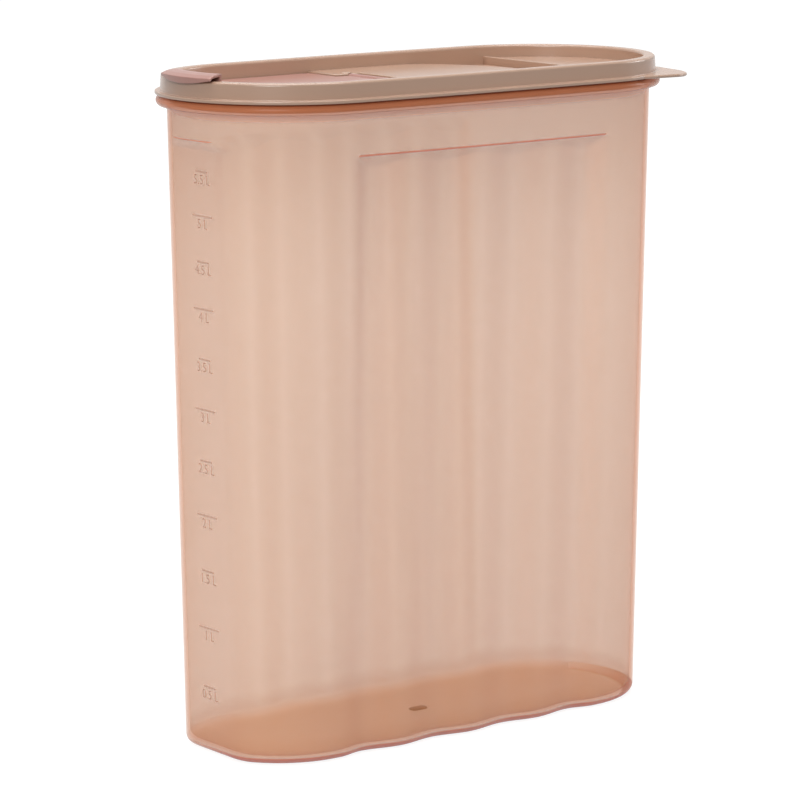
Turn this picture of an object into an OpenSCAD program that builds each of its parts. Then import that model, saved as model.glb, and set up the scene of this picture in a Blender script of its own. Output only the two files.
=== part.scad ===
// Tall oval cereal container with a press-on seal and a hinged pouring flap.
// Origin: centre of the base, on the surface that it stands on.
// +X is towards the grip end, -X towards the pouring end, -Y the near long side, +Z up.

/* [Overall] */
// Height from the base to the top of the seal's rim
total_h = 298; // [240:1:340]
// Length of the seal's flange
flange_l = 254; // [230:1:280]
// Depth of the seal's flange
flange_d = 116; // [104:1:128]
// How far the long sides bow out beyond straight
side_bow = 1.1; // [0.6:0.1:3]

/* [Container] */
// Wall thickness of the container
wall_t = 1.8; // [1.2:0.1:2.6]
// Thickness of the floor
floor_t = 3; // [1.6:0.1:4]
// Length at the base, before the pouring end is cut flat
base_l = 235.2; // [215:0.2:245]
// Depth at the base
base_d = 87.4; // [78:0.2:100]
// Rounding of the outer bottom edge
base_r = 4; // [2:0.5:6]
// Rounding between wall and floor, inside
inner_r = 3; // [1:0.5:5]
// Set-in of the container's wall from the edge of the seal's flange
wall_inset = 5.2; // [4.6:0.1:6]

/* [Fluted sides] */
// Distance from one flute to the next
flute_pitch = 39.2; // [34:0.2:44]
// Depth of a flute below its crests
flute_depth = 3; // [1:0.1:4.5]
// Set-back of the crests below the upper band, at the shoulder
crest_setback = 2.8; // [1:0.1:4]
// Distance of the shoulder below the bead
shoulder_drop = 18.7; // [14:0.1:60]
// Half length over which the sides are set back
panel_half = 73; // [66:0.5:78]

/* [Flat end] */
// Depth of the flat cut into the pouring end
flat_cut = 4.6; // [2:0.1:7]
// Distance of the top of the flat below the bead
flat_drop = 12.3; // [8:0.1:50]

/* [Bead and neck] */
// Height of the bead below the seal
bead_h = 4.4; // [3:0.1:6]
// Reach of the bead beyond the wall
bead_out = 4.8; // [3:0.1:5]
// Gap between the bead and the seal's flange
bead_gap = 0.5; // [0.3:0.1:1]
// Reach of the neck beyond the wall
neck_out = 0.6; // [0.3:0.1:1]

/* [Seal] */
// Height of the rim above the flange
rim_rise = 7.3; // [5:0.1:10]
// Thickness of the flange
flange_t = 1.5; // [1:0.1:2.2]
// Set-in of the rim's outer face from the flange's edge, at the top
rim_inset = 2.8; // [2.2:0.1:3.2]
// Clearance between the seal's channel and the neck, on each side
channel_gap = 0.3; // [0.2:0.05:0.6]
// Thickness of the wall inside the channel
plug_t = 1.4; // [1:0.1:2]
// Depth of the skirt below the seal's floor
skirt_drop = 3; // [1.5:0.1:5]
// Thickness of the seal's floor
deck_t = 1.4; // [1:0.1:2]
// Depth of the seal's floor below the rim
deck_drop = 8.7; // [8.4:0.1:12]
// Height of the hinge deck above the seal's floor
hinge_deck_h = 2.6; // [2.2:0.1:3.2]
// Radius of the hinge deck's round end
hinge_deck_r = 60; // [52:1:68]
// Height of the end deck above the seal's floor
end_deck_h = 3.1; // [2.4:0.1:6]
// Distance of the end deck's straight edge from the middle
end_deck_x = 78; // [70:1:88]
// Height of the lip on the end deck's edge
end_lip_h = 0.7; // [0.4:0.1:1.2]
// Width of that lip
end_lip_w = 2.2; // [1.2:0.1:4]

/* [Grip tab] */
// Direction in which the grip tab points, from the length
grip_angle = -45; // [-60:1:-20]
// Reach of the grip tab beyond the flange
grip_out = 12; // [8:0.5:18]
// Width of the grip tab at its root
grip_w = 50; // [30:1:60]
// Rounding of the grip tab's tip
grip_tip_r = 16; // [10:1:20]

/* [Pouring opening] */
// Set-in of the opening from the flange's edge
pour_inset = 16; // [13:0.5:20]
// Distance of the opening's straight edge from the middle
pour_edge_x = 44; // [36:1:60]
// Rounding of the opening's corners
pour_corner_r = 6; // [3:0.5:10]

/* [Flap] */
// Thickness of the flap
flap_t = 1.5; // [1.1:0.1:1.8]
// Clearance round the flap and its plug
flap_gap = 0.5; // [0.3:0.05:0.8]
// Height of the flap above the seal's floor
flap_lift = 0.3; // [0.2:0.05:0.6]
// Distance of the flap's hinge-side edge from the middle
flap_edge_x = 22.3; // [18:0.1:30]
// Depth of the plug under the flap
plug_drop = 3.5; // [2:0.1:4.5]
// Thickness of the plug's wall
plug_ring_t = 1.2; // [0.8:0.1:2]
// Width of the finger tab
tab_w = 37; // [24:1:46]
// Height of the finger tab above the seal's rim
tab_rise = 3; // [2.4:0.1:4]
// Reach of the finger tab beyond the rim's outer face
tab_out = 1.8; // [1.7:0.1:3]
// Reach of the finger tab's lip below the rim's top, in its middle
tab_drop = 1.5; // [0.8:0.1:3]
// Thickness of the finger tab
tab_t = 1.1; // [0.9:0.1:1.3]

/* [Hinge] */
// Distance of the hinge axis from the middle
hinge_x = 14; // [10:0.5:16]
// Height of the hinge axis above the seal's floor
hinge_h = 1.1; // [0.9:0.1:1.4]
// Length of the knuckle
knuckle_l = 56; // [30:1:60]
// Radius of the knuckle
knuckle_r = 1.6; // [1.4:0.1:1.8]
// Radius of the hinge pins
pin_r = 1; // [0.8:0.05:1.1]
// Radial clearance of a pin in its socket
pin_gap = 0.05; // [0.02:0.01:0.1]
// Length of a pin
pin_l = 4; // [3:0.1:6]
// Wall of the socket round a pin
socket_t = 0.9; // [0.7:0.1:1.2]
// Room behind the knuckle for the open flap
slot_room = 4; // [3.6:0.1:6]

/* [Hidden] */

flange_a = flange_l / 2;
flange_b = flange_d / 2;

rim_top = total_h;
flange_top = rim_top - rim_rise;
flange_low = flange_top - flange_t;
bead_top = flange_low - bead_gap;
bead_low = bead_top - bead_h;
shoulder_z = bead_low - shoulder_drop;
flat_top_z = bead_low - flat_drop;

rim_t = 1.9;
neck_top = rim_top - rim_t - 0.5;
neck_inset = wall_inset - neck_out;
neck_inner = neck_inset + wall_t;
plug_outer = neck_inner + channel_gap;
plug_inner = plug_outer + plug_t;

deck_z = rim_top - deck_drop;
skirt_low = deck_z - deck_t - skirt_drop;
hinge_z = deck_z + hinge_h;
flap_z = deck_z + flap_lift;
top_a = flange_a - wall_inset;
top_b = flange_b - wall_inset;

// A station is [arc, fraction]: arc 0 is the grip end, 1 the far side, 2 the pouring end and 3 the near side.
function stations(n_end, n_side) = [
    for (arc = [0:3])
        let (n = arc % 2 == 0 ? n_end : n_side)
            for (i = [0:n - 1]) [arc, i / n]
];
wall_stations = stations(21, 36);
ring_stations = stations(26, 6);

// A point of the four-arc oval of half length a and half depth b, set in along its normal.
function oval_point(s, a, b, inset) =
    let (
        end_r = b - side_bow,
        c = a - end_r,
        side_r = (c * c + b * b - end_r * end_r) / (2 * side_bow),
        join = atan(c / (side_r - b)),
        is_end = s[0] % 2 == 0,
        half = is_end ? 90 - join : join,
        dir = 90 * s[0] + (2 * s[1] - 1) * half,
        centre = is_end ? [c * cos(90 * s[0]), 0] : [0, -(side_r - b) * sin(90 * s[0])],
        r = (is_end ? end_r : side_r) - inset
    )
    [centre[0] + r * cos(dir), centre[1] + r * sin(dir)];

function oval_outline(inset) = [for (s = ring_stations) oval_point(s, flange_a, flange_b, inset)];

function blend(p, q, k) = p + (q - p) * k;
// The larger of p and q, with a fillet of about r where they cross.
function round_max(p, q, r) =
    let (h = r > 0 ? max(r - abs(p - q), 0) / r : 0)
    max(p, q) + h * h * r / 4;

// How far the fluted side is set back at distance x along it and height z.
function flute_setback(x, z) =
    let (
        crest = crest_setback * min(z, shoulder_z) / shoulder_z,
        last_valley = 1.5 * flute_pitch,
        fade = (abs(x) - last_valley) / (panel_half - last_valley),
        depth = abs(x) < last_valley
            ? crest + flute_depth * (1 - cos(360 * x / flute_pitch)) / 2
            : fade < 1 ? (crest + flute_depth) * (1 + cos(180 * fade)) / 2 : 0
    )
    min(depth, max(shoulder_z - z, 0));

function wall_point(s, z, inset) =
    let (
        k = min(z, bead_low) / bead_low,
        a = blend(base_l / 2, top_a, k),
        b = blend(base_d / 2, top_b, k),
        p = oval_point(s, a, b, inset),
        cut = min(flat_cut, max(flat_top_z - z, 0)),
        x = round_max(p[0], -(a - cut - inset), min(cut, 3)),
        y = p[1] - sign(p[1]) * flute_setback(p[0], z)
    )
    [x, y, z];

// Triangles between neighbouring rings of n points, with the first and last rings capped or joined.
function skin(rings, n, closed) = concat(
    [
        for (i = [0:closed ? rings - 1 : rings - 2])
            for (j = [0:n - 1])
                let (
                    low = i * n,
                    up = ((i + 1) % rings) * n,
                    next = (j + 1) % n
                )
                each [[low + j, up + j, up + next], [low + j, up + next, low + next]]
    ],
    closed ? [] : [
        [for (j = [0:n - 1]) j],
        [for (j = [n - 1:-1:0]) (rings - 1) * n + j]
    ]
);

shoulder_steps = [
    shoulder_z - crest_setback - flute_depth,
    shoulder_z - crest_setback - flute_depth / 3,
    shoulder_z - crest_setback,
    shoulder_z - crest_setback / 3,
    shoulder_z,
    (shoulder_z + flat_top_z - flat_cut) / 2,
    flat_top_z - flat_cut / 2,
    flat_top_z
];

// Wall sections as [set-in from the outer face, height], from under the base, up the outside, over the neck
// and down the inside to the floor.
wall_sections = concat(
    [for (t = [0:22.5:90]) [base_r * (1 - sin(t)), base_r * (1 - cos(t))]],
    [[0, total_h * 0.45]],
    [for (z = shoulder_steps) [0, z]],
    [
        [0, bead_low - 0.8],
        [-0.8, bead_low],
        [-bead_out * 0.72, bead_low + 0.1],
        [-bead_out * 0.94, bead_low + bead_h * 0.22],
        [-bead_out, bead_low + bead_h * 0.5],
        [-bead_out * 0.94, bead_low + bead_h * 0.78],
        [-bead_out * 0.72, bead_top],
        [-neck_out - 0.5, bead_top],
        [-neck_out, bead_top + 0.5],
        [-neck_out, neck_top - 0.5],
        [-neck_out + 0.5, neck_top],
        [wall_t - neck_out - 0.5, neck_top],
        [wall_t - neck_out, neck_top - 0.5],
        [wall_t - neck_out, skirt_low - 0.9],
        [wall_t, skirt_low - 2.5]
    ],
    [for (i = [len(shoulder_steps) - 1:-1:0]) [wall_t, shoulder_steps[i]]],
    [[wall_t, total_h * 0.45]],
    [
        for (t = [90:-30:0])
            [wall_t + inner_r * (1 - sin(t)), floor_t + inner_r * (1 - cos(t))]
    ]
);

module container_body() {
    n = len(wall_stations);
    color([0.86, 0.68, 0.56])
        polyhedron(
            points = [for (w = wall_sections) for (s = wall_stations) wall_point(s, w[1], w[0])],
            faces = skin(len(wall_sections), n, false),
            convexity = 6
        );
}

// Section of the seal's ring as [set-in from the flange's edge, height]: flange, rim, skirt and channel.
ring_section = [
    [0.5, flange_low],
    [0, flange_low + 0.4],
    [0, flange_top - 0.5],
    [0.5, flange_top],
    [rim_inset - 0.9, flange_top + 0.2],
    [rim_inset - 0.5, flange_top + 0.8],
    [rim_inset, rim_top - 1.1],
    [rim_inset + 0.5, rim_top - 0.3],
    [rim_inset + 1.4, rim_top],
    [plug_inner - 1.2, rim_top],
    [plug_inner - 0.4, rim_top - 0.4],
    [plug_inner, rim_top - 1.2],
    [plug_inner, skirt_low + 0.6],
    [plug_inner - 0.5, skirt_low],
    [plug_outer + 0.3, skirt_low + 0.2],
    [plug_outer, skirt_low + 1],
    [plug_outer, rim_top - rim_t],
    [neck_inset - channel_gap, rim_top - rim_t],
    [neck_inset - channel_gap, flange_low]
];

module seal_ring() {
    n = len(ring_stations);
    polyhedron(
        points = [
            for (w = ring_section)
                for (s = ring_stations)
                    let (p = oval_point(s, flange_a, flange_b, w[0]))
                    [p[0], p[1], w[1]]
        ],
        faces = skin(len(ring_section), n, true),
        convexity = 8
    );
}

// The inside of the seal's ring, cut to the strip between two distances along the length.
module deck_shape(inset, x_from, x_to) {
    intersection() {
        polygon(oval_outline(inset));
        translate([x_from, -flange_b])
            square([x_to - x_from, flange_d]);
    }
}

// Outline of the pouring opening, drawn in by a clearance.
module pour_shape(gap) {
    offset(r = pour_corner_r - gap, $fn = 24)
        offset(delta = -pour_corner_r)
            deck_shape(pour_inset, -flange_a, -pour_edge_x);
}

module hinge_deck_shape(gap) {
    intersection() {
        deck_shape(plug_inner - 0.6 + gap, -(flap_edge_x - 0.6) + gap, flange_a);
        circle(r = hinge_deck_r - gap, $fn = 96);
    }
}

module end_deck_shape(gap) {
    deck_shape(plug_inner - 0.6 + gap, end_deck_x + gap, flange_a);
}

socket_r = pin_r + pin_gap + socket_t;
slot_half = knuckle_l / 2 + flap_gap;
slot_end = knuckle_r + flap_gap + slot_room;
trough_r = knuckle_r + flap_gap;
socket_end = slot_half + pin_l + socket_t;

module along_y(r, y_from, y_to) {
    translate([-hinge_x, y_from, hinge_z])
        rotate([-90, 0, 0])
            cylinder(r = r, h = y_to - y_from, $fn = 48);
}

// The bosses that hold the pins, and the floor's bulge below the knuckle.
module hinge_sockets() {
    along_y(socket_r, -socket_end, socket_end);
    along_y(trough_r + deck_t, -slot_half, slot_half);
}

module grip_tab() {
    end_r = flange_b - side_bow;
    tab_low = flange_low;
    translate([flange_a - end_r, 0, tab_low])
        rotate([0, 0, grip_angle])
            linear_extrude(height = flange_t)
                difference() {
                    hull() {
                        for (side = [-1, 1])
                            translate([end_r - 8, side * (grip_w / 2 - 8)])
                                circle(r = 8, $fn = 48);
                        translate([end_r + grip_out - grip_tip_r, 0])
                            circle(r = grip_tip_r, $fn = 64);
                    }
                    circle(r = end_r - rim_inset + 0.4, $fn = 128);
                }
}

module seal() {
    color([0.69, 0.59, 0.51])
        difference() {
            union() {
                seal_ring();
                grip_tab();
                translate([0, 0, deck_z - deck_t])
                    linear_extrude(height = deck_t)
                        polygon(oval_outline(plug_inner - 0.6));
                translate([0, 0, deck_z - deck_t / 2])
                    linear_extrude(height = hinge_deck_h + deck_t / 2)
                        hinge_deck_shape(0);
                translate([0, 0, deck_z - deck_t / 2])
                    linear_extrude(height = end_deck_h + deck_t / 2)
                        end_deck_shape(0);
                translate([0, 0, deck_z + end_deck_h - 0.2])
                    linear_extrude(height = end_lip_h + 0.2)
                        deck_shape(plug_inner - 0.6, end_deck_x, end_deck_x + end_lip_w);
                hinge_sockets();
            }
            // the hollows under the raised decks
            translate([0, 0, deck_z - deck_t - 1])
                linear_extrude(height = hinge_deck_h + 1)
                    difference() {
                        hinge_deck_shape(deck_t + 0.6);
                        translate([-flange_a / 2, -socket_end - deck_t])
                            square([flange_a / 2 - hinge_x + slot_end + deck_t, 2 * (socket_end + deck_t)]);
                    }
            translate([0, 0, deck_z - deck_t - 1])
                linear_extrude(height = end_deck_h + 1)
                    end_deck_shape(deck_t + 0.6);
            // the pouring opening
            translate([0, 0, deck_z - deck_t - 1])
                linear_extrude(height = deck_t + 2)
                    pour_shape(0);
            // the slot for the knuckle, and the bores for its pins
            translate([-flange_a / 2, -slot_half, deck_z])
                cube([flange_a / 2 - hinge_x + slot_end, 2 * slot_half, 3 * hinge_deck_h]);
            along_y(trough_r, -slot_half, slot_half);
            along_y(pin_r + pin_gap, -slot_half - pin_l, slot_half + pin_l);
        }
}

module flap_tab() {
    end_r = flange_b - side_bow;
    inner = end_r - plug_inner - flap_gap;
    outer = end_r - rim_inset + tab_out;
    top = rim_top + tab_rise;
    reach = outer - inner;
    lip_low = rim_top - tab_drop;
    lip_sag = tab_drop + 0.5;
    lip_r = (tab_w * tab_w / 4 + lip_sag * lip_sag) / (2 * lip_sag);

    module sweep(section) {
        tab_angle = 2 * asin(tab_w / 2 / outer);
        translate([-(flange_a - end_r), 0, 0])
            rotate([0, 0, 180 - tab_angle / 2])
                rotate_extrude(angle = tab_angle, $fn = 96)
                    polygon(section);
    }

    // the riser from the plate, and the top over the rim
    sweep([
        [inner - tab_t, flap_z],
        [inner, flap_z],
        [inner, top - tab_t - 0.6],
        [inner + 0.5, top - tab_t],
        [outer - reach * 0.3, top - tab_t - 0.6],
        [outer, top - tab_t - 1.5],
        [outer, top - 1.9],
        [outer - 0.5, top - 1.3],
        [outer - reach * 0.35, top - 0.5],
        [inner + reach * 0.25, top],
        [inner - 0.4, top],
        [inner - tab_t, top - 0.7]
    ]);
    // the lip outside the rim, whose lower edge is an arc
    intersection() {
        sweep([
            [outer - tab_t, lip_low - 0.1],
            [outer, lip_low - 0.1],
            [outer, top - 1.9],
            [outer - tab_t, top - 1.9]
        ]);
        translate([-flange_a - tab_out, 0, lip_low + lip_r])
            rotate([0, 90, 0])
                cylinder(r = lip_r, h = flange_a / 2, $fn = 128);
    }
}

module pour_flap() {
    plate_top = flap_z + flap_t;
    color([0.80, 0.66, 0.61])
        union() {
            translate([0, 0, flap_z])
                linear_extrude(height = flap_t)
                    deck_shape(plug_inner + flap_gap, -flange_a, -flap_edge_x);
            translate([0, 0, flap_z - plug_drop])
                linear_extrude(height = plug_drop + flap_t / 2)
                    difference() {
                        pour_shape(flap_gap);
                        pour_shape(flap_gap + plug_ring_t);
                    }
            flap_tab();
            translate([-flap_edge_x - 2, -knuckle_l / 2, flap_z])
                cube([flap_edge_x + 2 - hinge_x, knuckle_l, flap_t]);
            along_y(knuckle_r, -knuckle_l / 2, knuckle_l / 2);
            along_y(pin_r, -knuckle_l / 2 - pin_l, knuckle_l / 2 + pin_l);
        }
}

container_body();
seal();
pour_flap();
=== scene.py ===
"""Looks of the cereal container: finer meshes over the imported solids, materials, light and camera.

Lengths are in millimetres until a mesh is made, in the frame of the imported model.
"""

import math

import bmesh
import bpy
from mathutils import Matrix, Vector
from mathutils.geometry import tessellate_polygon


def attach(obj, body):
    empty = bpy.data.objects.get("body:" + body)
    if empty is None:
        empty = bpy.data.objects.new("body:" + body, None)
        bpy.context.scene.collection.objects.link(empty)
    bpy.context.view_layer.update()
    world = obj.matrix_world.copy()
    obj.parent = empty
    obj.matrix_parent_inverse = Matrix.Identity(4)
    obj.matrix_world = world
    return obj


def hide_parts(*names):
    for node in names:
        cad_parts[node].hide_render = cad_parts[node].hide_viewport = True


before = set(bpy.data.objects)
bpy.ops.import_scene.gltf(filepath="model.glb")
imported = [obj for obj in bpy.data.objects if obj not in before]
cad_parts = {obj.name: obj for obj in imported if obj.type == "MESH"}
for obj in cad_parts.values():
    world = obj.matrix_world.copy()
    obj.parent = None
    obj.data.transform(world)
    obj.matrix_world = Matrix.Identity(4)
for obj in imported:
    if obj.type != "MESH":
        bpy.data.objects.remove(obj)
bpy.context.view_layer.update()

MM = 0.001

# ---------------------------------------------------------------- sizes, as in the solids
FLANGE_A = 127.0
FLANGE_B = 58.0
SIDE_BOW = 1.1
END_R = FLANGE_B - SIDE_BOW
RIM_TOP = 298.0
FLANGE_TOP = 290.7
FLANGE_LOW = 289.2
BEAD_TOP = 288.7
BEAD_LOW = 284.3
BEAD_OUT = 4.8
NECK_OUT = 0.6
NECK_TOP = 295.6
CHANNEL_TOP = 296.1
CHANNEL_INSET = 4.3
WALL_T = 1.8
WALL_INSET = 5.2
FLOOR_T = 3.0
BASE_R = 4.0
INNER_R = 3.0
BASE_A = 117.6
BASE_B = 43.7
TOP_A = FLANGE_A - WALL_INSET
TOP_B = FLANGE_B - WALL_INSET
FLUTE_PITCH = 39.2
FLUTE_DEPTH = 3.0
CREST_SETBACK = 2.8
LAST_VALLEY = 1.5 * FLUTE_PITCH
SHOULDER_Z = BEAD_LOW - 18.7
PANEL_HALF = 73.0
FLAT_CUT = 4.6
FLAT_TOP_Z = BEAD_LOW - 12.3
RIM_INSET = 2.8
PLUG_OUTER = 6.7
PLUG_INNER = 8.1
SKIRT_LOW = 284.9
DECK_Z = 289.3
DECK_T = 1.4
DECK_LAP = 0.6
HINGE_DECK_TOP = DECK_Z + 2.6
HINGE_DECK_R = 60.0
HOLLOW_SETBACK = 2.0
END_DECK_TOP = DECK_Z + 3.1
END_DECK_X = 78.0
END_LIP_TOP = END_DECK_TOP + 0.7
END_LIP_W = 2.2
POUR_INSET = 16.0
POUR_EDGE_X = 44.0
POUR_CORNER_R = 6.0
FLAP_Z = DECK_Z + 0.3
FLAP_T = 1.5
FLAP_GAP = 0.5
FLAP_EDGE_X = 22.3
DECK_EDGE_X = FLAP_EDGE_X - 0.6
PLUG_DROP = 3.5
PLUG_RING_T = 1.2
TAB_W = 37.0
TAB_TOP = RIM_TOP + 3.0
TAB_OUT = 1.8
TAB_INNER_R = END_R - PLUG_INNER - FLAP_GAP
TAB_OUTER_R = END_R - RIM_INSET + TAB_OUT
TAB_DROP = 1.5
TAB_T = 1.1
HINGE_X = 14.0
HINGE_Z = DECK_Z + 1.1
KNUCKLE_HALF = 28.0
KNUCKLE_R = 1.6
PIN_R = 1.0
PIN_GAP = 0.05
PIN_L = 4.0
SOCKET_T = 0.9
SLOT_HALF = KNUCKLE_HALF + FLAP_GAP
SLOT_END = KNUCKLE_R + FLAP_GAP + 4.0
TROUGH_R = KNUCKLE_R + FLAP_GAP
TROUGH_END_T = 1.0
SOCKET_R = PIN_R + PIN_GAP + SOCKET_T
SOCKET_END = SLOT_HALF + PIN_L + SOCKET_T
GRIP_ANGLE = math.radians(-45)
GRIP_OUT = 12.0
GRIP_W = 50.0
GRIP_TIP_R = 16.0
GRIP_ROOT_R = 8.0
GRIP_DROOP = 0.6

# how deep the plastic's tint is, from 0 to 1: in a thin wall, in the floor and along an edge; at the shoulder's
# crease and the flat's top that edge is painted shade
THIN, THICK, EDGE = 0.0, 0.28, 1.0
BEAD_COVER = 0.6
FOOT_COVER = 0.95
# painted shade on the flanks of the flutes
FLANK_SHADE = 0.13
FLAT_COVER = 0.1
FLAT_NEAR = 0.3
# painted shade of the lid on the neck, together with a deeper tint for thicker plastic there
NECK_SHADE_AND_DEPTH = 0.13
NECK_FROM_Z = 215.0

# painted shade lines in the creases at the shoulder and at the flat's top, and how much fainter the far side is
LINE_H = 0.3
LINE_HALF = PANEL_HALF - 4
FLAT_CREASE_SHADE_HALF = 14.0
FAR_CREASE_SHADE = 0.12
FOOT_FAR_FADE = 0.8
FOOT_FADE_FROM = 0.3

# the printed scale on the flat: height of each half litre mark
SCALE_Z = (30.0, 56.7, 82.4, 107.2, 131.5, 154.2, 176.4, 198.4, 219.0, 239.0, 258.2)
HALF_BAR_W = 9.0
FULL_BAR_W = 15.0
BAR_H = 0.9
LABEL_H = 4.4
LABEL_DROP = 4.6
CAPITAL_SHARE = 0.72
MARK_T = 0.12
MARK_SUNK = 0.03
SCALE_Y_LOW = 0.6
SCALE_Y_HIGH = -2.9

# the moulding's gate mark on the floor
GATE_X = -0.5
GATE_Y = -3.0
GATE_L = 9.0
GATE_D = 5.0
GATE_R = 2.2


# ---------------------------------------------------------------- shapes
def stations(n_end, n_side):
    """Places round an oval, as (arc, fraction): arc 0 is the grip end, 2 the pouring end."""
    return [(arc, i / n) for arc in range(4) for n in [n_side if arc % 2 else n_end] for i in range(n)]


def oval_point(station, a, b, inset=0.0):
    """A point of the four-arc oval of half length a and half depth b, set in along its normal."""
    arc, fraction = station
    end_r = b - SIDE_BOW
    c = a - end_r
    side_r = (c * c + b * b - end_r * end_r) / (2 * SIDE_BOW)
    join = math.atan(c / (side_r - b))
    is_end = arc % 2 == 0
    half = math.pi / 2 - join if is_end else join
    square = arc * math.pi / 2
    angle = square + (2 * fraction - 1) * half
    r = (end_r if is_end else side_r) - inset
    cx = round(math.cos(square)) * c if is_end else 0.0
    cy = 0.0 if is_end else -round(math.sin(square)) * (side_r - b)
    return cx + r * math.cos(angle), cy + r * math.sin(angle)


def oval_loop(inset, n_end=96, n_side=40):
    return [oval_point(s, FLANGE_A, FLANGE_B, inset) for s in stations(n_end, n_side)]


def round_max(p, q, r):
    """The larger of p and q, with a fillet of about r where they cross."""
    h = max(r - abs(p - q), 0) / r if r > 0 else 0
    return max(p, q) + h * h * r / 4


def flute_setback(x, z):
    """How far the fluted side is set back at distance x along it and height z."""
    crest = CREST_SETBACK * min(z, SHOULDER_Z) / SHOULDER_Z
    fade = (abs(x) - LAST_VALLEY) / (PANEL_HALF - LAST_VALLEY)
    if abs(x) < LAST_VALLEY:
        depth = crest + FLUTE_DEPTH * (1 - math.cos(2 * math.pi * x / FLUTE_PITCH)) / 2
    elif fade < 1:
        depth = (crest + FLUTE_DEPTH) * (1 + math.cos(math.pi * fade)) / 2
    else:
        depth = 0.0
    return min(depth, max(SHOULDER_Z - z, 0))


def wall_point(station, z, inset):
    """A point of the container's wall, set in from its outer face."""
    k = min(z, BEAD_LOW) / BEAD_LOW
    a = BASE_A + (TOP_A - BASE_A) * k
    b = BASE_B + (TOP_B - BASE_B) * k
    x, y = oval_point(station, a, b, inset)
    cut = min(FLAT_CUT, max(FLAT_TOP_Z - z, 0))
    x_cut = round_max(x, -(a - cut - inset), min(cut, 3))
    return x_cut, y - math.copysign(flute_setback(x, z), y), z


def arc_profile(cx, cy, r, start, end, steps):
    """Points of a rounded corner, from one direction to another, in degrees."""
    turn = [math.radians(start + (end - start) * i / steps) for i in range(steps + 1)]
    return [(cx + r * math.cos(t), cy + r * math.sin(t)) for t in turn]


def rounded(corners, steps=4):
    """A closed outline of (x, y, r) corners, each rounded to its own r."""
    out = []
    n = len(corners)
    for i, (x, y, r) in enumerate(corners):
        p = Vector((x, y))
        before = (Vector(corners[i - 1][:2]) - p).normalized()
        after = (Vector(corners[(i + 1) % n][:2]) - p).normalized()
        half = before.angle(after) / 2
        if r <= 0 or half > math.radians(88):
            out.append((x, y))
            continue
        reach = r / math.tan(half)
        start, end = p + before * reach, p + after * reach
        centre = p + (before + after).normalized() * (r / math.sin(half))
        a0 = math.atan2(*(start - centre).yx)
        turn = (math.atan2(*(end - centre).yx) - a0 + math.pi) % (2 * math.pi) - math.pi
        for k in range(steps + 1):
            t = a0 + turn * k / steps
            out.append((centre.x + r * math.cos(t), centre.y + r * math.sin(t)))
    return out


def rounded_box(x, y, length, depth, r):
    """Outline of a rectangle about (x, y) with rounded corners."""
    ends = ((-1, -1), (1, -1), (1, 1), (-1, 1))
    return rounded([(x + i * length / 2, y + j * depth / 2, r) for i, j in ends])


def shrunk(loop, d):
    """A closed loop moved to its left by d, which is into an anticlockwise outline."""
    n = len(loop)
    out = []
    for i, (x, y) in enumerate(loop):
        before = Vector((x - loop[i - 1][0], y - loop[i - 1][1])).normalized()
        after = Vector((loop[(i + 1) % n][0] - x, loop[(i + 1) % n][1] - y)).normalized()
        normal = Vector((-before.y - after.y, before.x + after.x))
        normal = normal.normalized() if normal.length > 1e-6 else Vector((-after.y, after.x))
        lean = max(normal.dot(Vector((-after.y, after.x))), 0.5)
        out.append((x + normal.x * d / lean, y + normal.y * d / lean))
    return out


def clean_loop(loop):
    """The loop without points that lie on their neighbour."""
    least = 0.02
    out = []
    for p in loop:
        if not out or math.dist(p, out[-1]) > least:
            out.append(p)
    while math.dist(out[0], out[-1]) <= least:
        out.pop()
    return out


def clip_loop(loop, x_from, x_to):
    """The part of a closed outline between two distances along the length."""
    for limit, keep in ((x_from, 1), (x_to, -1)):
        out = []
        for i, p in enumerate(loop):
            q = loop[(i + 1) % len(loop)]
            inside_p, inside_q = keep * (p[0] - limit) >= 0, keep * (q[0] - limit) >= 0
            if inside_p:
                out.append(p)
            if inside_p != inside_q:
                t = (limit - p[0]) / (q[0] - p[0])
                out.append((limit, p[1] + (q[1] - p[1]) * t))
        loop = out
    return clean_loop(loop)


def fine_straights(loop, longest):
    """The loop with its long straight runs divided."""
    out = []
    for i, p in enumerate(loop):
        q = loop[(i + 1) % len(loop)]
        n = max(1, math.ceil(math.dist(p, q) / longest))
        out += [(p[0] + (q[0] - p[0]) * k / n, p[1] + (q[1] - p[1]) * k / n) for k in range(n)]
    return out


# ---------------------------------------------------------------- meshes
def piece(name, points, faces, body, slot, node, material, smooth=True):
    """A mesh from points in millimetres, which rides on a body and stands for a node."""
    mesh = bpy.data.meshes.new(name)
    mesh.from_pydata([(x * MM, y * MM, z * MM) for x, y, z in points], [], faces)
    mesh.validate()
    mesh.polygons.foreach_set("use_smooth", [smooth] * len(mesh.polygons))
    mesh.materials.append(material)
    obj = bpy.data.objects.new(name, mesh)
    bpy.context.scene.collection.objects.link(obj)
    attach(obj, body)
    if node:
        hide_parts(node)
    return obj


def weighted(obj):
    """Keeps broad faces flat where they meet rounded edges."""
    modifier = obj.modifiers.new("flat faces", "WEIGHTED_NORMAL")
    modifier.weight = 100
    modifier.keep_sharp = True


def ring_faces(rings, n, closed):
    """Quads between neighbouring rings of n points, with the first and last capped or joined."""
    count = rings if closed else rings - 1
    faces = [
        (i * n + j, i * n + (j + 1) % n, (i + 1) % rings * n + (j + 1) % n, (i + 1) % rings * n + j)
        for i in range(count)
        for j in range(n)
    ]
    if not closed:
        faces.append(tuple(range(n - 1, -1, -1)))
        faces.append(tuple((rings - 1) * n + j for j in range(n)))
    return faces


def edge_rings(low, high, r, steps=4):
    """(inset, height) of the rings of a plate with rounded edges, from its underside to its top."""
    turn = [math.pi / 2 * i / steps for i in range(steps + 1)]
    under = [(r * (1 - math.sin(t)), low + r * (1 - math.cos(t))) for t in turn]
    return under + [(inset, low + high - z) for inset, z in reversed(under)]


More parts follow.
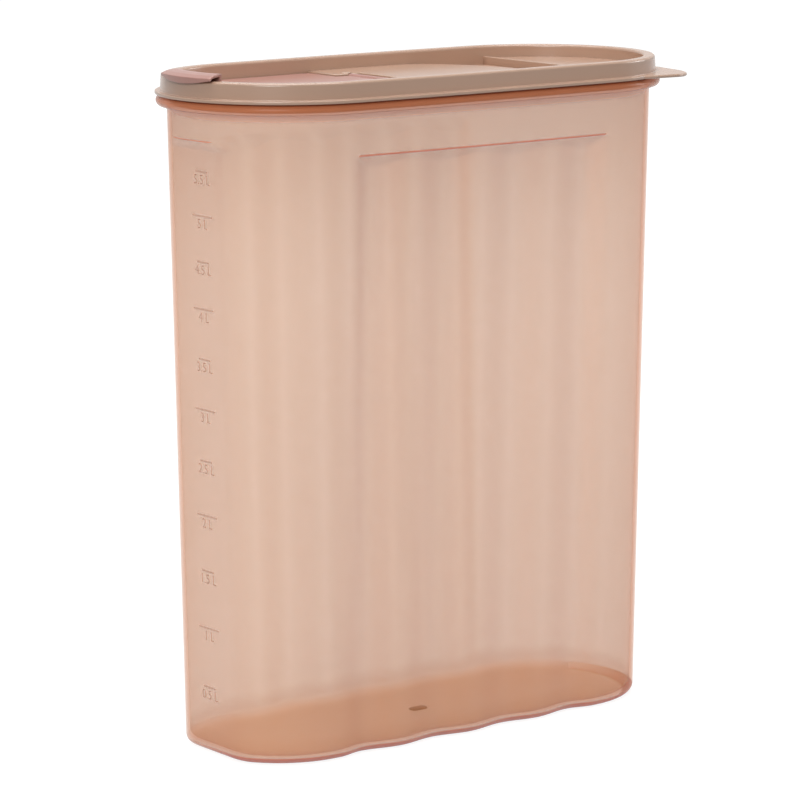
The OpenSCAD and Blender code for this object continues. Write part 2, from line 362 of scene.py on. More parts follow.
def cap_faces(points, caps, turned):
    """Triangles over an outline with its holes, given as rows of point numbers. They face up, or down if turned."""
    index = [v for cap in caps for v in cap]
    faces = []
    for tri in tessellate_polygon([[Vector((*points[v][:2], 0)) for v in cap] for cap in caps]):
        tri = [index[v] for v in tri]
        a, b, c = (Vector(points[v][:2]) for v in tri)
        cross = (b - a).cross(c - a)
        if abs(cross) > 1e-9:
            faces.append(tuple(tri if (cross > 0) != turned else reversed(tri)))
    return faces


def plate(loops, low, high, r, steps=4):
    """Points and faces of a plate with rounded edges. The first loop is its outline, the others its holes."""
    points, faces, under, over = [], [], [], []
    rings = edge_rings(low, high, r, steps)
    for loop in loops:
        n = len(loop)
        start = len(points)
        points += [(x, y, z) for inset, z in rings for x, y in shrunk(loop, inset)]
        faces += [tuple(start + v for v in f) for f in ring_faces(len(rings), n, True)[:-n]]
        under.append(range(start, start + n))
        over.append(range(len(points) - n, len(points)))
    return points, faces + cap_faces(points, under, True) + cap_faces(points, over, False)


def cup(loop, low, high, thick, r):
    """Points and faces of a hollow raised deck: outline, walls and top of one thickness, open below."""
    chamfer = 0.3
    outer = [(thick, low), (0.0, low)]
    outer += [(inset, z) for inset, z in edge_rings(low, high, r) if z > (low + high) / 2]
    inner = [(thick, high - thick - chamfer), (thick + chamfer, high - thick)]
    points = [(x, y, z) for inset, z in outer + inner for x, y in shrunk(loop, inset)]
    n = len(loop)
    start = len(outer) * n
    faces = ring_faces(len(outer), n, True)[:-n]
    faces += [(j, start + j, start + (j + 1) % n, (j + 1) % n) for j in range(n)]
    faces += [(start + j, start + n + j, start + n + (j + 1) % n, start + (j + 1) % n) for j in range(n)]
    faces += cap_faces(points, [range(start - n, start)], False)
    return points, faces + cap_faces(points, [range(start + n, start + 2 * n)], True)


def lathe_y(profile, x, z):
    """Points and faces of a solid turned about a line along Y, from (radius, y) pairs that end on the axis."""
    n, least_r = 40, 0.01
    turn = [2 * math.pi * k / n for k in range(n)]
    rings = [(max(r, least_r), y) for r, y in profile]
    points = [(x + r * math.sin(t), y, z + r * math.cos(t)) for r, y in rings for t in turn]
    return points, ring_faces(len(rings), n, False)


# ---------------------------------------------------------------- materials
PLASTIC_IOR = 1.49

# the see-through wall: colour and alpha of its veil and of thick plastic, and what its depth takes from light
WALL_VEIL = (1.0, 0.54, 0.22, 1)
WALL_DEEP = (0.78, 0.115, 0.06, 1)
VEIL_ALPHA = 0.23
DEEP_ALPHA = 0.78
WALL_TINT = (0.78, 0.4, 0.22, 1)
WALL_DENSITY = 54


def principled(name, roughness, specular):
    material = bpy.data.materials.new(name)
    material.use_nodes = True
    tree = material.node_tree
    shader = tree.nodes["Principled BSDF"]
    shader.inputs["Roughness"].default_value = roughness
    shader.inputs["Specular IOR Level"].default_value = specular
    shader.inputs["IOR"].default_value = PLASTIC_IOR
    return material, tree, shader


def srgb(r, g, b):
    """A colour written as the eye sees it, as the numbers that the shader takes."""
    lin = [(v / 255 / 12.92) if v <= 10 else ((v / 255 + 0.055) / 1.055) ** 2.4 for v in (r, g, b)]
    return (*lin, 1.0)


def add(tree, kind, **values):
    node = tree.nodes.new(kind)
    for key, value in values.items():
        setattr(node, key, value)
    return node


def mottled(tree, shader, light, dark, scale, amount, bump, bump_scale):
    """Slightly uneven colour and a very fine surface, as moulded plastic has."""
    place = add(tree, "ShaderNodeTexCoord")
    cloud = add(tree, "ShaderNodeTexNoise")
    cloud.inputs["Scale"].default_value = scale
    cloud.inputs["Detail"].default_value = 3
    ramp = add(tree, "ShaderNodeMapRange")
    ramp.inputs["From Min"].default_value = 0.3
    ramp.inputs["From Max"].default_value = 0.7
    ramp.inputs["To Max"].default_value = amount
    mix = add(tree, "ShaderNodeMix", data_type="RGBA")
    mix.inputs["A"].default_value = light
    mix.inputs["B"].default_value = dark
    tree.links.new(place.outputs["Object"], cloud.inputs["Vector"])
    tree.links.new(cloud.outputs["Fac"], ramp.inputs["Value"])
    tree.links.new(ramp.outputs["Result"], mix.inputs["Factor"])
    grain = add(tree, "ShaderNodeTexNoise")
    grain.inputs["Scale"].default_value = bump_scale
    grain.inputs["Detail"].default_value = 2
    relief = add(tree, "ShaderNodeBump")
    relief.inputs["Strength"].default_value = bump
    relief.inputs["Distance"].default_value = 0.0001
    tree.links.new(place.outputs["Object"], grain.inputs["Vector"])
    tree.links.new(grain.outputs["Fac"], relief.inputs["Height"])
    tree.links.new(relief.outputs["Normal"], shader.inputs["Normal"])
    return mix


def plain_plastic(name, light, dark, roughness, specular=0.5):
    material, tree, shader = principled(name, roughness, specular)
    mix = mottled(tree, shader, light, dark, scale=14, amount=0.5, bump=0.25, bump_scale=900)
    tree.links.new(mix.outputs["Result"], shader.inputs["Base Color"])
    return material


def clear_plastic(name, roughness, specular):
    """Tinted see-through plastic: a pale veil on each face, and a wall that takes more light where it is seen long.

    The mesh's point attribute is 0 where the wall is thin and 1 where the plastic is thick; it also carries painted
    shade in creases, on the flanks of the flutes and under the lid.
    """
    material, tree, shader = principled(name, roughness, specular)
    dark_veil = tuple(v * 0.95 for v in WALL_VEIL[:3]) + (1,)
    mix = mottled(tree, shader, WALL_VEIL, dark_veil, scale=9, amount=0.6, bump=0.04, bump_scale=500)
    depth_and_shade = add(tree, "ShaderNodeAttribute", attribute_name="depth_and_shade")
    colour = add(tree, "ShaderNodeMix", data_type="RGBA")
    colour.inputs["B"].default_value = WALL_DEEP
    tree.links.new(mix.outputs["Result"], colour.inputs["A"])
    tree.links.new(depth_and_shade.outputs["Fac"], colour.inputs["Factor"])
    tree.links.new(colour.outputs["Result"], shader.inputs["Base Color"])
    alpha = add(tree, "ShaderNodeMapRange")
    alpha.inputs["To Min"].default_value = VEIL_ALPHA
    alpha.inputs["To Max"].default_value = DEEP_ALPHA
    tree.links.new(depth_and_shade.outputs["Fac"], alpha.inputs["Value"])
    tree.links.new(alpha.outputs["Result"], shader.inputs["Alpha"])
    tint = add(tree, "ShaderNodeVolumeAbsorption")
    tint.inputs["Color"].default_value = WALL_TINT
    tint.inputs["Density"].default_value = WALL_DENSITY
    out = next(node for node in tree.nodes if node.bl_idname == "ShaderNodeOutputMaterial")
    tree.links.new(tint.outputs[0], out.inputs["Volume"])
    return material


container_plastic = clear_plastic("container_plastic", 0.25, 0.28)
seal_plastic = plain_plastic("seal_plastic", srgb(188, 154, 132), srgb(182, 148, 126), 0.22, 0.65)
flap_plastic = plain_plastic("flap_plastic", srgb(178, 132, 121), srgb(172, 126, 115), 0.28)
mark_ink = plain_plastic("mark_ink", srgb(236, 192, 170), srgb(229, 184, 162), 0.4)
gate_plastic = plain_plastic("gate_plastic", srgb(150, 84, 64), srgb(140, 76, 58), 0.4)


# ---------------------------------------------------------------- container
def container_sections():
    """(set-in from the outer face, height, cover), from under the base, up the outside and down the inside."""
    quarter = [math.pi / 2 * i / 8 for i in range(9)]
    # even levels up the wall, then closer ones where the flutes end at the shoulder and where the flat ends
    levels = [12 + i * (SHOULDER_Z - 24) / 22 for i in range(23)]
    levels += [SHOULDER_Z - 11 + i * 0.5 for i in range(10)]
    ledge = CREST_SETBACK + FLUTE_DEPTH
    levels += [SHOULDER_Z - ledge + i * ledge / 14 for i in range(15)]
    levels += [SHOULDER_Z + 0.25, SHOULDER_Z + 0.8]
    levels += [FLAT_TOP_Z - FLAT_CUT + i * FLAT_CUT / 8 for i in range(-1, 9)]
    above_flat = {FLAT_TOP_Z + 0.4, 276.0, 280.0}
    levels = sorted({round(z, 3) for z in levels if z < FLAT_TOP_Z + 0.01} | above_flat)
    foot_cover = [FOOT_COVER] * 6 + [EDGE, THIN, THIN]
    out = [(BASE_R + 1.5, 0.0, THICK)]
    out += [(BASE_R * (1 - math.sin(t)), BASE_R * (1 - math.cos(t)), c) for t, c in zip(quarter, foot_cover)]
    out += [(0.0, BASE_R + 0.8, THIN)]
    out += [(0.0, z, THIN) for z in levels]
    out += [(-inset, z, BEAD_COVER) for inset, z in bead_profile()]
    out += [(WALL_T - NECK_OUT, SKIRT_LOW - 0.9, THIN), (WALL_T, SKIRT_LOW - 2.5, THIN)]
    out += [(WALL_T, z, THIN) for z in reversed(levels) if z < SKIRT_LOW - 3]
    out += [
        (WALL_T + INNER_R * (1 - math.sin(t)), FLOOR_T + INNER_R * (1 - math.cos(t)), THICK)
        for t in reversed(quarter)
    ]
    return out


def flat_x(z):
    """Where the flat's face stands at a height."""
    return -(BASE_A - FLAT_CUT + (TOP_A - BASE_A) * z / BEAD_LOW)


def wall_depth_and_shade(point, inset, depth_and_shade):
    """How deep a point of the wall is tinted, with more on its outer face at edges, flanks of flutes, flat and
    neck: along the creases at the shoulder and the flat's top, on the flanks and on the neck this is painted shade.
    """
    x, y, z = point
    if z < BASE_R and depth_and_shade > THICK:
        return depth_and_shade * (1 - FOOT_FAR_FADE * min(max(y / BASE_B + FOOT_FADE_FROM, 0), 1))
    if inset or depth_and_shade > THIN:
        return depth_and_shade
    # painted shade along the crease under the shoulder, kept faint on the far side
    if -0.01 < z - SHOULDER_Z < LINE_H and abs(x) < LINE_HALF and abs(y) > FLANGE_B / 2:
        return EDGE if y < 0 else FAR_CREASE_SHADE
    # painted shade along the crease at the flat's top edge
    if abs(z - FLAT_TOP_Z) < 0.01 and x < 0 and abs(y) < FLAT_CREASE_SHADE_HALF:
        return EDGE
    # painted shade on the flanks of the flutes, strongest where they slope most
    if z < SHOULDER_Z and abs(x) < LAST_VALLEY:
        depth_and_shade = FLANK_SHADE * abs(math.sin(2 * math.pi * x / FLUTE_PITCH))
    elif z < SHOULDER_Z and abs(x) < PANEL_HALF:
        depth_and_shade = FLANK_SHADE * math.sin(math.pi * (abs(x) - LAST_VALLEY) / (PANEL_HALF - LAST_VALLEY))
    elif z < FLAT_TOP_Z and abs(x - flat_x(z)) < FLAT_NEAR:
        depth_and_shade = FLAT_COVER * z / FLAT_TOP_Z
    # darker towards the top: painted shade of the lid, together with a deeper tint for thicker neck plastic
    rise = min(max((z - NECK_FROM_Z) / (BEAD_LOW - NECK_FROM_Z), 0), 1)
    return depth_and_shade + NECK_SHADE_AND_DEPTH * rise * rise * (3 - 2 * rise)


def bead_profile():
    """(reach beyond the wall, height) of the bead and the neck."""
    mid = (BEAD_LOW + BEAD_TOP) / 2
    r = (BEAD_TOP - BEAD_LOW) / 2
    nose = [(BEAD_OUT - r + x, mid + z) for x, z in arc_profile(0, 0, r, -90, 90, 14)]
    foot = [(0.0, BEAD_LOW - 1.0), (0.25, BEAD_LOW - 0.3), (0.9, BEAD_LOW)]
    neck = arc_profile(NECK_OUT - 0.5, NECK_TOP - 0.5, 0.5, 0, 90, 4)
    neck += arc_profile(NECK_OUT - WALL_T + 0.5, NECK_TOP - 0.5, 0.5, 90, 180, 4)
    return foot + nose + [(NECK_OUT + 0.5, BEAD_TOP), (NECK_OUT, BEAD_TOP + 0.5)] + neck


sections = container_sections()
round_stations = stations(72, 150)
container = piece(
    "container_shell",
    [wall_point(s, z, inset) for inset, z, _ in sections for s in round_stations],
    ring_faces(len(sections), len(round_stations), False),
    "container",
    "container",
    "container_body",
    container_plastic,
)
# the tint depth of each point, which includes painted shade in creases, on flute flanks and under the lid
depth_and_shade = container.data.attributes.new("depth_and_shade", "FLOAT", "POINT")
depth_and_shade.data.foreach_set(
    "value", [wall_depth_and_shade(wall_point(s, z, inset), inset, c) for inset, z, c in sections for s in round_stations]
)


def on_flat(y, z, out):
    """A place on the flat, a little out from its face."""
    return flat_x(z) - out, y, z


def bar_mesh(y, z, width):
    """Points and faces of a scale bar with round ends, which lies on the flat."""
    loop = rounded_box(0, 0, width, BAR_H, BAR_H / 2 - 0.01)
    points, faces = plate([loop], -MARK_SUNK, MARK_T, MARK_SUNK, 2)
    return [on_flat(y - u, z + v, out) for u, v, out in points], faces


def label_mesh(y, z, text):
    """Points and faces of a label, which lies on the flat."""
    curve = bpy.data.curves.new("label", "FONT")
    curve.body = text
    curve.size = LABEL_H / CAPITAL_SHARE
    curve.extrude = (MARK_T + MARK_SUNK) / 2
    curve.resolution_u = 3
    curve.align_x = "CENTER"
    maker = bpy.data.objects.new("label", curve)
    mesh = bpy.data.meshes.new_from_object(maker)
    build = bmesh.new()
    build.from_mesh(mesh)
    bmesh.ops.remove_doubles(build, verts=build.verts, dist=0.002)
    build.verts.ensure_lookup_table()
    middle = (MARK_T - MARK_SUNK) / 2
    points = [on_flat(y - v.co.x, z + v.co.y, middle + v.co.z) for v in build.verts]
    faces = [tuple(v.index for v in f.verts) for f in build.faces]
    build.free()
    bpy.data.objects.remove(maker)
    return points, faces


def scale_marks():
    """Points and faces of the whole scale: a bar for each half litre, with its label below it."""
    points, faces = [], []
    for i, z in enumerate(SCALE_Z):
        litres = (i + 1) / 2
        y = SCALE_Y_LOW + (SCALE_Y_HIGH - SCALE_Y_LOW) * z / FLAT_TOP_Z
        width = FULL_BAR_W if i % 2 else HALF_BAR_W
        for part in (bar_mesh(y, z, width), label_mesh(y, z - LABEL_DROP - BAR_H, f"{litres:g} L")):
            start = len(points)
            points += part[0]
            faces += [tuple(start + v for v in f) for f in part[1]]
    return points, faces


piece("container_scale", *scale_marks(), "container", "container", None, mark_ink, smooth=False)
gate = plate([rounded_box(GATE_X, GATE_Y, GATE_L, GATE_D, GATE_R)], FLOOR_T - 0.3, FLOOR_T + 0.4, 0.3)
piece("container_gate", *gate, "container", "container", None, gate_plastic)


# ---------------------------------------------------------------- seal
def seal_piece(name, shape):
    """A piece of the seal, from its points and faces."""
    weighted(piece(name, *shape, "seal", "seal", "seal", seal_plastic))


# the ring's section as (set-in, height, rounding)
ring_outline = rounded(
    [
        (0.0, FLANGE_LOW, 0.5),
        (0.0, FLANGE_TOP, 0.5),
        (RIM_INSET - 0.5, FLANGE_TOP, 0.5),
        (RIM_INSET, RIM_TOP, 1.3),
        (PLUG_INNER, RIM_TOP, 1.2),
        (PLUG_INNER, SKIRT_LOW, 0.4),
        (PLUG_OUTER, SKIRT_LOW, 0.4),
        (PLUG_OUTER, CHANNEL_TOP, 0.3),
        (CHANNEL_INSET, CHANNEL_TOP, 0.3),
        (CHANNEL_INSET, FLANGE_LOW, 0.3),
    ],
    5,
)


def swept_ring(outline):
    """Points and faces of a closed (inset, height) outline taken round the oval."""
    loops = [oval_loop(inset) for inset, _ in outline]
    points = [(x, y, z) for loop, (_, z) in zip(loops, outline) for x, y in loop]
    return points, ring_faces(len(outline), len(loops[0]), True)


seal_piece("seal_rim", swept_ring(ring_outline))


def pour_loop(gap):
    """Outline of the pouring opening, drawn in by a clearance, anticlockwise."""
    r = POUR_CORNER_R
    corner_x = -POUR_EDGE_X - r
    loop = clip_loop(oval_loop(POUR_INSET, 64, 24), -FLANGE_A, -POUR_EDGE_X)
    ys = [p[1] for p in loop if abs(p[0] + POUR_EDGE_X) < 1e-6]
    keep = [p for p in loop if p[0] < corner_x]
    start = next(i for i in range(len(keep)) if math.dist(keep[i], keep[i - 1]) > r)
    corners = arc_profile(corner_x, min(ys) + r, r, -90, 0, 8)
    corners += arc_profile(corner_x, max(ys) - r, r, 0, 90, 8)
    return fine_straights(shrunk(clean_loop(keep[start:] + keep[:start] + corners), gap), 5)


def bowed(side, r, steps):
    """Points of the two long sides, joined at the grip end by an arc of radius r about the middle."""
    lower = sorted(p for p in side if p[1] < 0)
    upper = sorted((p for p in side if p[1] > 0), reverse=True)
    start, end = (math.atan2(p[1], p[0]) for p in (lower[-1], upper[0]))
    turn = [start + (end - start) * k / steps for k in range(steps + 1)]
    return lower + [(r * math.cos(t), r * math.sin(t)) for t in turn] + upper


def hinge_deck_loop():
    """Outline of the hinge deck: a straight edge at the flap, a round end, and the slot for the knuckle."""
    loop = clip_loop(oval_loop(PLUG_INNER - DECK_LAP, 96, 60), -DECK_EDGE_X, FLANGE_A)
    meet = max(p[0] for p in loop if math.hypot(*p) < HINGE_DECK_R and p[1] > 0)
    slot_x = -HINGE_X + SLOT_END
    notch = [(-DECK_EDGE_X, SLOT_HALF), (slot_x, SLOT_HALF), (slot_x, -SLOT_HALF), (-DECK_EDGE_X, -SLOT_HALF)]
    return clean_loop(bowed([p for p in loop if p[0] <= meet], HINGE_DECK_R, 48) + notch)


def hollow_loop():
    """Outline of the hollow under the hinge deck."""
    r = HINGE_DECK_R - HOLLOW_SETBACK
    side = clip_loop(oval_loop(PLUG_INNER + DECK_T, 48, 60), -HINGE_X + SLOT_END + DECK_T, FLANGE_A)
    return fine_straights(clean_loop(bowed([p for p in side if math.hypot(*p) < r], r, 40)), 5)


def end_loop(inset, x_from, x_to=FLANGE_A):
    """Outline of a part of the grip end, between two distances along the length."""
    return fine_straights(clip_loop(oval_loop(inset), x_from, x_to), 4)


trough_half = math.sqrt(TROUGH_R**2 - (HINGE_Z - DECK_Z) ** 2)
trough_hole = [
    (-HINGE_X - trough_half, -SLOT_HALF),
    (-HINGE_X - trough_half, SLOT_HALF),
    (-HINGE_X + trough_half, SLOT_HALF),
    (-HINGE_X + trough_half, -SLOT_HALF),
]
floor_loops = [
    oval_loop(PLUG_INNER - DECK_LAP),
    pour_loop(0)[::-1],
    fine_straights(trough_hole, 5),
    hollow_loop()[::-1],
    end_loop(PLUG_INNER + DECK_T, END_DECK_X + HOLLOW_SETBACK)[::-1],
]
end_deck = end_loop(PLUG_INNER - DECK_LAP, END_DECK_X)
end_lip = end_loop(PLUG_INNER - DECK_LAP, END_DECK_X, END_DECK_X + END_LIP_W)
seal_piece("seal_floor", plate(floor_loops, DECK_Z - DECK_T, DECK_Z, 0.25))
seal_piece("seal_hinge_deck", cup(hinge_deck_loop(), DECK_Z - DECK_T / 2, HINGE_DECK_TOP, DECK_T, 0.45))
seal_piece("seal_end_deck", cup(end_deck, DECK_Z - DECK_T / 2, END_DECK_TOP, DECK_T, 0.45))
seal_piece("seal_end_lip", plate([end_lip], END_DECK_TOP - 0.8, END_LIP_TOP, 0.4))


def along_hinge(outline, y_from, y_to, r):
    """Points and faces of an (x, z) outline about the hinge axis, extruded along Y."""
    points, faces = plate([outline], y_from, y_to, r)
    placed = [(-HINGE_X + x, y, HINGE_Z + z) for x, z, y in points]
    return placed, [tuple(reversed(f)) for f in faces]


def boss_outline():
    """The part of a pin's socket that stands above the hinge deck."""
    seat = HINGE_DECK_TOP - HINGE_Z - 0.1
    lean = math.degrees(math.asin(seat / SOCKET_R))
    return arc_profile(0, 0, SOCKET_R, lean, 180 - lean, 16)


def trough_outline():
    """Section of the trough under the knuckle, a little below the floor's surface."""
    top = DECK_Z - HINGE_Z - 0.05
    outer = TROUGH_R + DECK_T
    a, b = (math.degrees(math.asin(-top / r)) for r in (TROUGH_R, outer))
    return arc_profile(0, 0, outer, 180 + b, 360 - b, 24) + arc_profile(0, 0, TROUGH_R, 360 - a, 180 + a, 24)


def trough_end():
    """Outline of the wall that closes an end of the trough."""
    top = DECK_Z - HINGE_Z - 0.1
    outer = TROUGH_R + DECK_T
    b = math.degrees(math.asin(-top / outer))
    return arc_profile(0, 0, outer, 180 + b, 360 - b, 24)


for side, label in ((-1, "near"), (1, "far")):
    socket_ends = sorted((side * SLOT_HALF, side * SOCKET_END))
    trough_ends = sorted((side * SLOT_HALF, side * (SLOT_HALF + TROUGH_END_T)))
    seal_piece(f"seal_socket_{label}", along_hinge(boss_outline(), *socket_ends, 0.2))
    seal_piece(f"seal_trough_{label}", along_hinge(trough_end(), *trough_ends, 0.1))
seal_piece("seal_trough", along_hinge(trough_outline(), -SLOT_HALF - 0.1, SLOT_HALF + 0.1, 0.05))


def grip_outline():
    """Outer edge of the grip tab as (angle, radius) about the end's centre, from one root to the other."""
    tip_x = END_R + GRIP_OUT - GRIP_TIP_R
    root_x, root_y = END_R - GRIP_ROOT_R, GRIP_W / 2 - GRIP_ROOT_R
    slope = math.atan2(root_y, tip_x - root_x)
    lean = math.acos((GRIP_ROOT_R - GRIP_TIP_R) / math.hypot(tip_x - root_x, root_y)) - slope
    lean = math.degrees(lean)
    edge = arc_profile(root_x, -root_y, GRIP_ROOT_R, -90, -lean, 16)
    edge += arc_profile(tip_x, 0, GRIP_TIP_R, -lean, lean, 40)
    edge += arc_profile(root_x, root_y, GRIP_ROOT_R, lean, 90, 16)
    return [(math.atan2(y, x), math.hypot(x, y)) for x, y in edge]


def grip_tab():
    """Points and faces of the leaf-shaped grip tab, which droops a little to its tip."""
    root = END_R - RIM_INSET + 0.2
    points, n_out = [], 14
    outline = grip_outline()
    half = (FLANGE_TOP - FLANGE_LOW) / 2 - 0.02
    turn = [math.pi / 2 - math.pi * k / 8 for k in range(1, 8)]
    nose = [(half * math.cos(t), half * math.sin(t)) for t in turn]
    for angle, reach in outline:
        angle += GRIP_ANGLE
        rows = [root + (reach - half - root) * k / n_out for k in range(n_out + 1)]
        top = [(r, half) for r in rows]
        edge = [(reach - half + dr, dz) for dr, dz in nose]
        under = [(r, -half) for r in reversed(rows)]
        for r, dz in top + edge + under:
            droop = GRIP_DROOP * max(0.0, (r - END_R) / GRIP_OUT) ** 1.6
            z = (FLANGE_TOP + FLANGE_LOW) / 2 + dz - droop
            points.append((FLANGE_A - END_R + r * math.cos(angle), r * math.sin(angle), z))
    n = len(points) // len(outline)
    return points, ring_faces(len(outline), n, False)


seal_piece("seal_grip_tab", grip_tab())


# ---------------------------------------------------------------- flap
def flap_piece(name, shape):
    """A piece of the flap, from its points and faces."""
    weighted(piece(name, *shape, "flap", "flap", "pour_flap", flap_plastic))


def flap_loop():
    """Outline of the flap with its tongue at the hinge, anticlockwise."""
    loop = clip_loop(oval_loop(PLUG_INNER + FLAP_GAP), -FLANGE_A, -FLAP_EDGE_X)
    start = next(i for i in range(len(loop)) if math.dist(loop[i], loop[i - 1]) > 40)
    loop = loop[start:] + loop[:start]
    tongue = [
        (-FLAP_EDGE_X, -KNUCKLE_HALF),
        (-HINGE_X, -KNUCKLE_HALF),
        (-HINGE_X, KNUCKLE_HALF),
        (-FLAP_EDGE_X, KNUCKLE_HALF),
    ]
    return fine_straights(clean_loop(loop + tongue), 4)


def hinge_rod(r, half):
    """Points and faces of a rod of radius r on the hinge axis, with chamfered ends."""
    chamfer = 0.3
    end = [(0, -half), (r - chamfer, -half), (r, -half + chamfer)]
    return lathe_y(end + [(r, -y) for r, y in reversed(end)], -HINGE_X, HINGE_Z)


plug_loops = [pour_loop(FLAP_GAP), pour_loop(FLAP_GAP + PLUG_RING_T)[::-1]]
flap_piece("flap_plate", plate([flap_loop()], FLAP_Z, FLAP_Z + FLAP_T, 0.35))
flap_piece("flap_plug", plate(plug_loops, FLAP_Z - PLUG_DROP, FLAP_Z + 0.3, 0.25))
flap_piece("flap_knuckle", hinge_rod(KNUCKLE_R, KNUCKLE_HALF))
flap_piece("flap_pins", hinge_rod(PIN_R, KNUCKLE_HALF + PIN_L))


def tab_section(y):
    """(radius, height) section of the finger tab, whose lip's lower edge is an arc along y.

    Each corner is written as (radius, height, rounding).
    """
    inner, outer = TAB_INNER_R, TAB_OUTER_R
    reach = outer - inner
    sag = TAB_DROP + 0.5
    lip_r = (TAB_W**2 / 4 + sag**2) / (2 * sag)
    under = TAB_TOP - TAB_T - 1.5
    lip_low = min(RIM_TOP - TAB_DROP + lip_r - math.sqrt(lip_r**2 - y**2), under - 0.1)
    corner = min(0.35, (under + 0.4 - lip_low) / 3)
    return rounded(
        [
            (inner - TAB_T, FLAP_Z + 0.2, 0),
            (inner, FLAP_Z + 0.2, 0),
            (inner, TAB_TOP - TAB_T - 0.1, 0.6),
            (outer - reach * 0.3, TAB_TOP - TAB_T - 0.6, 1.0),
            (outer - TAB_T, under + 0.45, corner),
            (outer - TAB_T, lip_low, corner),
            (outer, lip_low, corner),
            (outer, TAB_TOP - 1.6, 0.5),
            (outer - reach * 0.35, TAB_TOP - 0.5, 1.5),
            (inner + reach * 0.25, TAB_TOP, 1.5),
            (inner - TAB_T, TAB_TOP, 0.9),
        ],
        5,
    )


def finger_tab():
    """Points and faces of the finger tab: it rises inside the rim, passes over it and turns down outside."""
    outer = TAB_OUTER_R
    half = math.asin(TAB_W / 2 / outer)
    n_turn, edge = 40, 0.3
    turn = [math.pi / 2 * i / 4 for i in range(5)]
    ends = [(-half + edge * (1 - math.cos(t)) / outer, edge * (1 - math.sin(t))) for t in turn]
    rings = ends + [(-half + 2 * half * i / n_turn, 0.0) for i in range(1, n_turn)]
    rings += [(-angle, inset) for angle, inset in reversed(ends)]
    points = []
    for angle, inset in rings:
        section = shrunk(tab_section(outer * math.sin(angle)), inset)
        turn = math.pi + angle
        for r, z in section:
            points.append((-(FLANGE_A - END_R) + r * math.cos(turn), r * math.sin(turn), z))
    return points, [tuple(reversed(f)) for f in ring_faces(len(rings), len(section), False)]


flap_piece("flap_tab", finger_tab())

# ---------------------------------------------------------------- floor, light and camera
bpy.context.scene.view_settings.view_transform = "Standard"

FLOOR_HALF = 6.0
FLOOR_DROP = 0.0004
FLOOR_PALE = (0.4, 0.4, 0.4, 1)
FLOOR_SHADE = (0.25, 0.25, 0.25, 1)
# the floor's own light, by distance from its middle in metres
FLOOR_GLOW = {"From Min": 0.25, "From Max": 1.2, "To Min": 0.88, "To Max": 1.0}
AMBIENT = 0.18
# name, place and aim in metres, size in metres, power in watts
LAMPS = (
    ("top", (0.0, 0.2, 2.2), (0, 0, 0.2), 2.0, 46),
    ("key", (-1.6, -1.3, 1.2), (0, 0, 0.15), 0.9, 21.5),
    ("fill", (2.2, -0.5, 0.9), (0, 0, 0.25), 0.9, 12),
)

# the camera, solved from the photograph's outlines: angles in radians, lengths in metres, shifts in pixels
CAMERA_TURN = -0.6536
CAMERA_LIFT = 0.1784
CAMERA_ROLL = -0.0026
CAMERA_DISTANCE = 1.7364
CAMERA_AIM = Vector((-0.00736, 0.0, 0.1459))
SENSOR_W = 36
FOCAL_PIXELS = 3857.6
PICTURE_PIXELS = 800
SHIFT_RIGHT = 1.5
SHIFT_DOWN = 1.3


def is_seen(tree):
    """1 for rays from the camera, or from glossy and clear surfaces, that see the white studio."""
    path = add(tree, "ShaderNodeLightPath")
    first = add(tree, "ShaderNodeMath", operation="MAXIMUM")
    second = add(tree, "ShaderNodeMath", operation="MAXIMUM")
    tree.links.new(path.outputs["Is Camera Ray"], first.inputs[0])
    tree.links.new(path.outputs["Is Glossy Ray"], first.inputs[1])
    tree.links.new(first.outputs[0], second.inputs[0])
    tree.links.new(path.outputs["Is Transmission Ray"], second.inputs[1])
    return second.outputs[0]


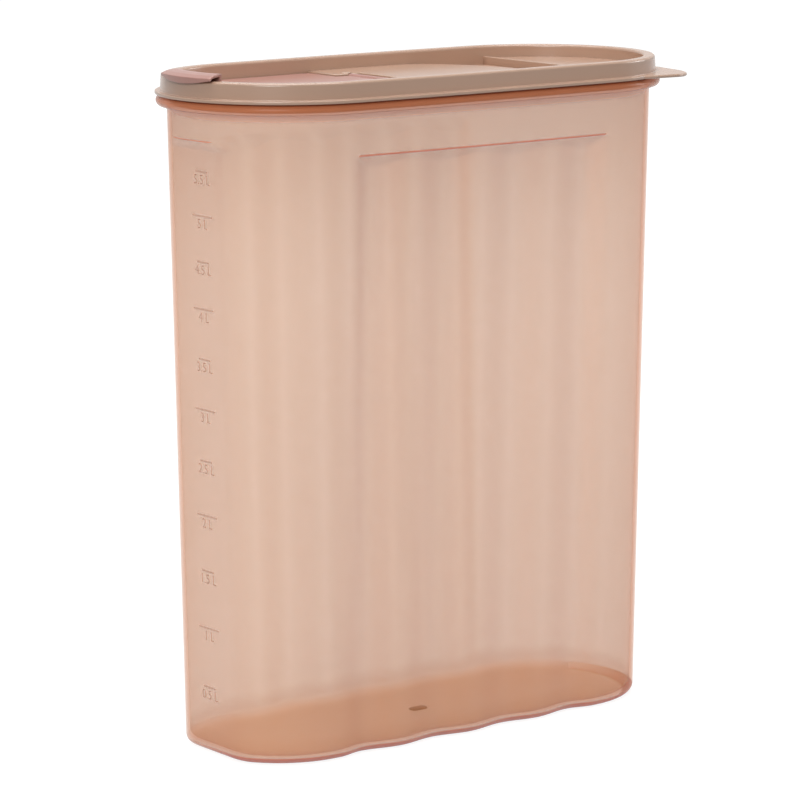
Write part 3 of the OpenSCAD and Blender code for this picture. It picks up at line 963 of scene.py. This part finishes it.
def make_floor():
    """A pale floor that takes the object's shadow and is white to the camera further out."""
    mesh = bpy.data.meshes.new("studio_floor")
    s = FLOOR_HALF
    mesh.from_pydata([(-s, -s, 0), (s, -s, 0), (s, s, 0), (-s, s, 0)], [], [(0, 1, 2, 3)])
    floor = bpy.data.objects.new("studio_floor", mesh)
    bpy.context.scene.collection.objects.link(floor)
    floor.location.z = -FLOOR_DROP
    material = bpy.data.materials.new("studio_floor")
    material.use_nodes = True
    tree = material.node_tree
    tree.nodes.clear()
    out = add(tree, "ShaderNodeOutputMaterial")
    pale = add(tree, "ShaderNodeBsdfDiffuse")
    pale.inputs["Color"].default_value = FLOOR_PALE
    shade = add(tree, "ShaderNodeBsdfDiffuse")
    shade.inputs["Color"].default_value = FLOOR_SHADE
    white = add(tree, "ShaderNodeEmission")
    place = add(tree, "ShaderNodeTexCoord")
    away = add(tree, "ShaderNodeVectorMath", operation="LENGTH")
    glow = add(tree, "ShaderNodeMapRange")
    for key, value in FLOOR_GLOW.items():
        glow.inputs[key].default_value = value
    tree.links.new(place.outputs["Object"], away.inputs[0])
    tree.links.new(away.outputs["Value"], glow.inputs["Value"])
    tree.links.new(glow.outputs["Result"], white.inputs["Strength"])
    seen = add(tree, "ShaderNodeAddShader")
    pick = add(tree, "ShaderNodeMixShader")
    tree.links.new(shade.outputs[0], seen.inputs[0])
    tree.links.new(white.outputs[0], seen.inputs[1])
    tree.links.new(is_seen(tree), pick.inputs[0])
    tree.links.new(pale.outputs[0], pick.inputs[1])
    tree.links.new(seen.outputs[0], pick.inputs[2])
    tree.links.new(pick.outputs[0], out.inputs[0])
    mesh.materials.append(material)


def make_world():
    """A white studio round the object, which lights it only softly."""
    world = bpy.data.worlds.new("studio")
    bpy.context.scene.world = world
    world.use_nodes = True
    tree = world.node_tree
    tree.nodes.clear()
    out = add(tree, "ShaderNodeOutputWorld")
    back = add(tree, "ShaderNodeBackground")
    strength = add(tree, "ShaderNodeMapRange")
    strength.inputs["To Min"].default_value = AMBIENT
    strength.inputs["To Max"].default_value = 1.0
    tree.links.new(is_seen(tree), strength.inputs["Value"])
    tree.links.new(strength.outputs[0], back.inputs["Strength"])
    tree.links.new(back.outputs[0], out.inputs[0])


def area_light(name, place, aim, size, watts):
    data = bpy.data.lights.new(name, "AREA")
    data.size = size
    data.energy = watts
    light = bpy.data.objects.new(name, data)
    bpy.context.scene.collection.objects.link(light)
    light.location = place
    light.rotation_euler = (Vector(aim) - Vector(place)).to_track_quat("-Z", "Y").to_euler()


def make_camera():
    """The photograph's view."""
    back = Vector(
        (
            math.sin(CAMERA_TURN) * math.cos(CAMERA_LIFT),
            -math.cos(CAMERA_TURN) * math.cos(CAMERA_LIFT),
            math.sin(CAMERA_LIFT),
        )
    )
    right = Vector((math.cos(CAMERA_TURN), math.sin(CAMERA_TURN), 0))
    up = back.cross(right)
    data = bpy.data.cameras.new("photo_camera")
    data.sensor_width = SENSOR_W
    data.lens = FOCAL_PIXELS / PICTURE_PIXELS * data.sensor_width
    data.shift_x = -SHIFT_RIGHT / PICTURE_PIXELS
    data.shift_y = SHIFT_DOWN / PICTURE_PIXELS
    camera = bpy.data.objects.new("photo_camera", data)
    bpy.context.scene.collection.objects.link(camera)
    turn = Matrix((right, up, back)).transposed().to_4x4() @ Matrix.Rotation(CAMERA_ROLL, 4, "Z")
    camera.matrix_world = Matrix.Translation(CAMERA_AIM + back * CAMERA_DISTANCE) @ turn
    bpy.context.scene.camera = camera


make_floor()
make_world()
for lamp in LAMPS:
    area_light(*lamp)
make_camera()
